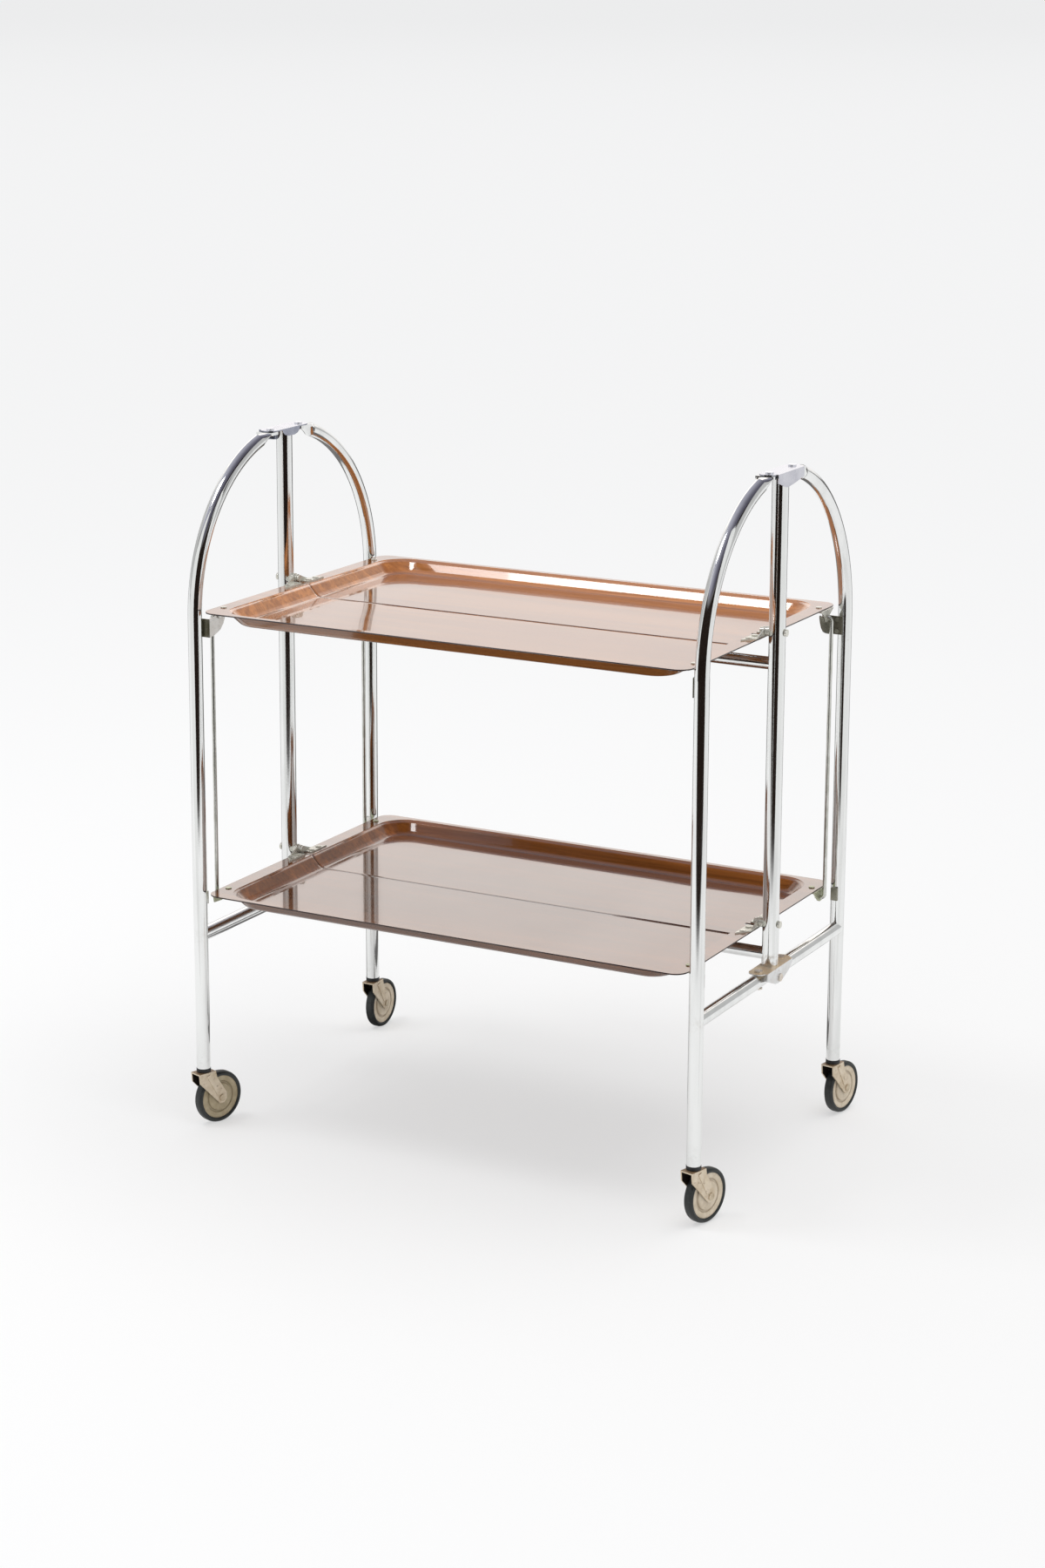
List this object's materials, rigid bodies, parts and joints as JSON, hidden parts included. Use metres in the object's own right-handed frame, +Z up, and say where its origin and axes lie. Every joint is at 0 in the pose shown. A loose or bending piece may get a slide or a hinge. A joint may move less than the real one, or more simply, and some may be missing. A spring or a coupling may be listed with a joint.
{
  "type": "drop leaf tea trolley",
  "caption": "Folding two-tier tea trolley: arched tube legs on swivel castors, hinged half trays that fold up in step, and wings that swing on vertical rivets.",
  "frame": {"origin": "on the floor, in the middle between the four legs", "axes": "+X to the right along the trays, +Y to the back, +Z up"},
  "size_m": [0.6573, 0.4445, 0.7938],
  "materials": {
    "chrome_tube": "polished",
    "laminate": "glossy",
    "bracket_zinc": "satin",
    "fitting_zinc": "satin",
    "castor_zinc": "satin",
    "rivet_steel": "dull",
    "rod_steel": "satin",
    "tyre_rubber": "matte",
    "hub_plastic": "satin",
    "collar_plastic": "matte"
  },
  "bodies": {
    "spine": {"post_left": "chrome_tube", "post_right": "chrome_tube", "rail_upper": "chrome_tube", "rail_lower": "chrome_tube", "top_bracket_left": "bracket_zinc", "top_bracket_right": "bracket_zinc", "lower_bracket_left": "bracket_zinc", "lower_bracket_right": "bracket_zinc", "bracket_rivets": "rivet_steel", "tray_hinge_bolts": "rivet_steel", "tray_hinge_spacers": "rivet_steel"},
    "upper_tray_front": {"tray_upper_front": "laminate", "hinge_ears_upper_front": "fitting_zinc", "corner_brackets_upper_front": "fitting_zinc"},
    "lower_tray_front": {"tray_lower_front": "laminate", "hinge_ears_lower_front": "fitting_zinc", "corner_brackets_lower_front": "fitting_zinc"},
    "upper_tray_back": {"tray_upper_back": "laminate", "hinge_ears_upper_back": "fitting_zinc", "corner_brackets_upper_back": "fitting_zinc"},
    "lower_tray_back": {"tray_lower_back": "laminate", "hinge_ears_lower_back": "fitting_zinc", "corner_brackets_lower_back": "fitting_zinc"},
    "wing_left_front": {"leg_left_front": "chrome_tube", "cross_tube_left_front": "chrome_tube", "catch_left_front": "fitting_zinc", "castor_collar_left_front": "collar_plastic"},
    "castor_left_front": {"castor_fork_left_front": "castor_zinc", "wheel_axle_left_front": "rivet_steel"},
    "wheel_left_front": {"wheel_hub_left_front": "hub_plastic", "wheel_tyre_left_front": "tyre_rubber"},
    "rod_left_front": {"link_rod_left_front": "rod_steel"},
    "wing_left_back": {"leg_left_back": "chrome_tube", "cross_tube_left_back": "chrome_tube", "catch_left_back": "fitting_zinc", "castor_collar_left_back": "collar_plastic"},
    "castor_left_back": {"castor_fork_left_back": "castor_zinc", "wheel_axle_left_back": "rivet_steel"},
    "wheel_left_back": {"wheel_hub_left_back": "hub_plastic", "wheel_tyre_left_back": "tyre_rubber"},
    "rod_left_back": {"link_rod_left_back": "rod_steel"},
    "wing_right_front": {"leg_right_front": "chrome_tube", "cross_tube_right_front": "chrome_tube", "catch_right_front": "fitting_zinc", "castor_collar_right_front": "collar_plastic"},
    "castor_right_front": {"castor_fork_right_front": "castor_zinc", "wheel_axle_right_front": "rivet_steel"},
    "wheel_right_front": {"wheel_hub_right_front": "hub_plastic", "wheel_tyre_right_front": "tyre_rubber"},
    "rod_right_front": {"link_rod_right_front": "rod_steel"},
    "wing_right_back": {"leg_right_back": "chrome_tube", "cross_tube_right_back": "chrome_tube", "catch_right_back": "fitting_zinc", "castor_collar_right_back": "collar_plastic"},
    "castor_right_back": {"castor_fork_right_back": "castor_zinc", "wheel_axle_right_back": "rivet_steel"},
    "wheel_right_back": {"wheel_hub_right_back": "hub_plastic", "wheel_tyre_right_back": "tyre_rubber"},
    "rod_right_back": {"link_rod_right_back": "rod_steel"}
  },
  "joints": [
    {"name": "fold_upper_front", "type": "hinge", "parent": "spine", "child": "upper_tray_front", "pos_m": [0, 0, 0.615], "axis": [-1, 0, 0], "range_deg": [0, 90]},
    {"name": "fold_lower_front", "type": "hinge", "parent": "spine", "child": "lower_tray_front", "pos_m": [0, 0, 0.287], "axis": [-1, 0, 0], "range_deg": [0, 90]},
    {"name": "fold_upper_back", "type": "hinge", "parent": "spine", "child": "upper_tray_back", "pos_m": [0, 0, 0.615], "axis": [1, 0, 0], "range_deg": [0, 90]},
    {"name": "fold_lower_back", "type": "hinge", "parent": "spine", "child": "lower_tray_back", "pos_m": [0, 0, 0.287], "axis": [1, 0, 0], "range_deg": [0, 90]},
    {"name": "wing_play_left_front", "type": "hinge", "parent": "spine", "child": "wing_left_front", "pos_m": [-0.313, -0.03, 0.4], "axis": [0, 0, 1], "range_deg": [0, 1]},
    {"name": "swivel_left_front", "type": "hinge", "parent": "wing_left_front", "child": "castor_left_front", "pos_m": [-0.313, -0.19, 0.066], "axis": [0, 0, 1], "continuous": true},
    {"name": "roll_left_front", "type": "hinge", "parent": "castor_left_front", "child": "wheel_left_front", "pos_m": [-0.30649, -0.17109, 0.0305], "axis": [-0.9455, 0.3256, 0], "continuous": true},
    {"name": "rod_pivot_left_front", "type": "hinge", "parent": "upper_tray_front", "child": "rod_left_front", "pos_m": [-0.3075, -0.164, 0.6], "axis": [-1, 0, 0], "range_deg": [-90, 0]},
    {"name": "wing_play_left_back", "type": "hinge", "parent": "spine", "child": "wing_left_back", "pos_m": [-0.313, 0.03, 0.4], "axis": [0, 0, -1], "range_deg": [0, 1]},
    {"name": "swivel_left_back", "type": "hinge", "parent": "wing_left_back", "child": "castor_left_back", "pos_m": [-0.313, 0.19, 0.066], "axis": [0, 0, 1], "continuous": true},
    {"name": "roll_left_back", "type": "hinge", "parent": "castor_left_back", "child": "wheel_left_back", "pos_m": [-0.313, 0.21, 0.0305], "axis": [-1, 0, 0], "continuous": true},
    {"name": "rod_pivot_left_back", "type": "hinge", "parent": "upper_tray_back", "child": "rod_left_back", "pos_m": [-0.3075, 0.164, 0.6], "axis": [1, 0, 0], "range_deg": [-90, 0]},
    {"name": "wing_play_right_front", "type": "hinge", "parent": "spine", "child": "wing_right_front", "pos_m": [0.313, -0.03, 0.4], "axis": [0, 0, -1], "range_deg": [0, 1]},
    {"name": "swivel_right_front", "type": "hinge", "parent": "wing_right_front", "child": "castor_right_front", "pos_m": [0.313, -0.19, 0.066], "axis": [0, 0, 1], "continuous": true},
    {"name": "roll_right_front", "type": "hinge", "parent": "castor_right_front", "child": "wheel_right_front", "pos_m": [0.31784, -0.17059, 0.0305], "axis": [-0.9703, 0.2419, 0], "continuous": true},
    {"name": "rod_pivot_right_front", "type": "hinge", "parent": "upper_tray_front", "child": "rod_right_front", "pos_m": [0.3075, -0.164, 0.6], "axis": [-1, 0, 0], "range_deg": [-90, 0]},
    {"name": "wing_play_right_back", "type": "hinge", "parent": "spine", "child": "wing_right_back", "pos_m": [0.313, 0.03, 0.4], "axis": [0, 0, 1], "range_deg": [0, 1]},
    {"name": "swivel_right_back", "type": "hinge", "parent": "wing_right_back", "child": "castor_right_back", "pos_m": [0.313, 0.19, 0.066], "axis": [0, 0, 1], "continuous": true},
    {"name": "roll_right_back", "type": "hinge", "parent": "castor_right_back", "child": "wheel_right_back", "pos_m": [0.31613, 0.20975, 0.0305], "axis": [-0.9877, 0.1564, 0], "continuous": true},
    {"name": "rod_pivot_right_back", "type": "hinge", "parent": "upper_tray_back", "child": "rod_right_back", "pos_m": [0.3075, 0.164, 0.6], "axis": [1, 0, 0], "range_deg": [-90, 0]}
  ],
  "couplings": [
    {"joint": "fold_lower_front", "follows": "fold_upper_front", "ratio": 1},
    {"joint": "fold_lower_back", "follows": "fold_upper_back", "ratio": 1},
    {"joint": "rod_pivot_left_front", "follows": "fold_upper_front", "ratio": -1},
    {"joint": "rod_pivot_left_back", "follows": "fold_upper_back", "ratio": -1},
    {"joint": "rod_pivot_right_front", "follows": "fold_upper_front", "ratio": -1},
    {"joint": "rod_pivot_right_back", "follows": "fold_upper_back", "ratio": -1}
  ]
}
